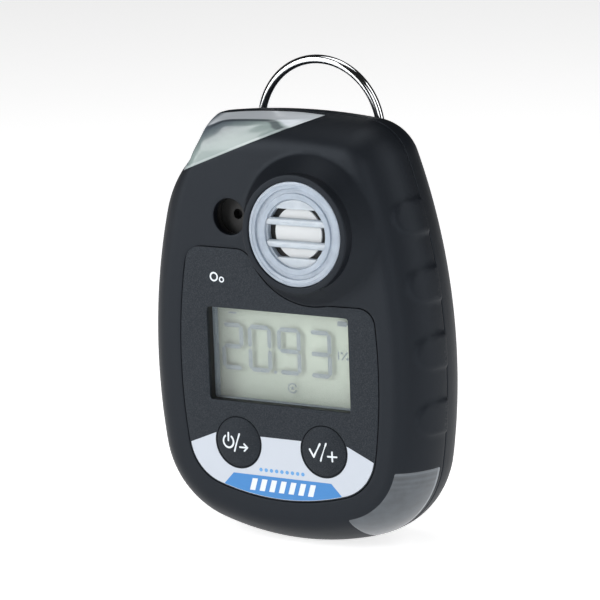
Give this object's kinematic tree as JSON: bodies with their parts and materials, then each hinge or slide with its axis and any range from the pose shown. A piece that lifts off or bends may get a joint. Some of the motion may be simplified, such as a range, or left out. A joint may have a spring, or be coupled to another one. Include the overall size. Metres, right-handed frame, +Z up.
{
  "type": "portable gas detector",
  "caption": "Body-worn single-gas detector: rounded two-shell housing with round vented sensor boss, display, round keys, alarm lenses, folding wire bail and spring belt clip.",
  "frame": {"origin": "middle of the belt seat: the point on the clip base's rear face halfway down the belt gap and mid-width, where the belt that carries the detector lies", "axes": "+X to the right as seen from the front, +Y from the front face backwards to the belt clip, +Z up to the wire bail"},
  "size_m": [0.0698, 0.0447, 0.1027],
  "materials": {
    "black_shell": "fine satin texture",
    "black_cover": "fine satin texture",
    "black_rubber": "matt",
    "steel_screw": "brushed",
    "brass": "plain",
    "panel_print": "fine speckled print",
    "clear_window": "clear",
    "lcd": "grey-green",
    "white_plastic": "matt",
    "elastomer": "matt",
    "key_black": "satin",
    "cap_clear": "translucent bluish",
    "filter_white": "matt membrane",
    "sensor_white": "smooth",
    "gold": "plated",
    "board_green": "solder mask",
    "part_black": "moulded",
    "top_lens": "frosted clear",
    "side_lens": "smoked clear",
    "led": "tinted clear",
    "battery_wrap": "wrap",
    "nickel": "plated",
    "motor_steel": "drawn",
    "tungsten": "sintered",
    "chrome_wire": "polished",
    "clip_steel": "brushed",
    "spring_steel": "drawn"
  },
  "bodies": {
    "housing": {"front_shell": "black_shell", "rear_cover": "black_cover", "housing_seal": "black_rubber", "cover_screws": "steel_screw", "screw_inserts": "brass", "label_panel": "panel_print", "display_window": "clear_window", "lcd_glass": "lcd", "lcd_frame": "white_plastic", "lcd_contact_strips": "elastomer", "key_switches": "part_black", "sensor_cap": "cap_clear", "sensor_filter": "filter_white", "sensor_seal": "black_rubber", "gas_sensor": "sensor_white", "sensor_sockets": "gold", "upper_board": "board_green", "board_header": "part_black", "buzzer": "part_black", "buzzer_seal": "black_rubber", "top_lens": "top_lens", "right_lens": "side_lens", "alarm_leds": "led", "main_board": "board_green", "board_screws": "steel_screw", "board_chips": "part_black", "battery": "battery_wrap", "battery_holder": "part_black", "battery_contacts": "nickel", "vibration_motor": "motor_steel", "motor_bracket": "clip_steel", "clip_base": "clip_steel", "clip_pin": "steel_screw", "clip_spring": "spring_steel", "clip_screws": "steel_screw"},
    "power_key": {"power_key": "key_black", "power_switch_plunger": "steel_screw"},
    "menu_key": {"menu_key": "key_black", "menu_switch_plunger": "steel_screw"},
    "bail": {"wire_bail": "chrome_wire"},
    "clip_jaw": {"clip_jaw": "clip_steel"},
    "motor_weight": {"vibration_weight": "tungsten"}
  },
  "joints": [
    {"name": "power_key_press", "type": "slide", "parent": "housing", "child": "power_key", "axis": [0, 1, 0], "range_m": [0, 0.0005], "stiffness_N_per_m": 400, "springref_m": -0.001},
    {"name": "menu_key_press", "type": "slide", "parent": "housing", "child": "menu_key", "axis": [0, 1, 0], "range_m": [0, 0.0005], "stiffness_N_per_m": 400, "springref_m": -0.001},
    {"name": "bail_fold", "type": "hinge", "parent": "housing", "child": "bail", "pos_m": [0, -0.0093, 0.055], "axis": [-1, 0, 0], "range_deg": [0, 90]},
    {"name": "clip_open", "type": "hinge", "parent": "housing", "child": "clip_jaw", "pos_m": [0, 0.00255, 0.015], "axis": [1, 0, 0], "range_deg": [0, 18], "stiffness_Nm_per_rad": 0.02, "springref_deg": -17.19, "deforming": ["clip_spring"]},
    {"name": "motor_spin", "type": "hinge", "parent": "housing", "child": "motor_weight", "pos_m": [0.0074, -0.0149, -0.0205], "axis": [1, 0, 0], "continuous": true}
  ]
}
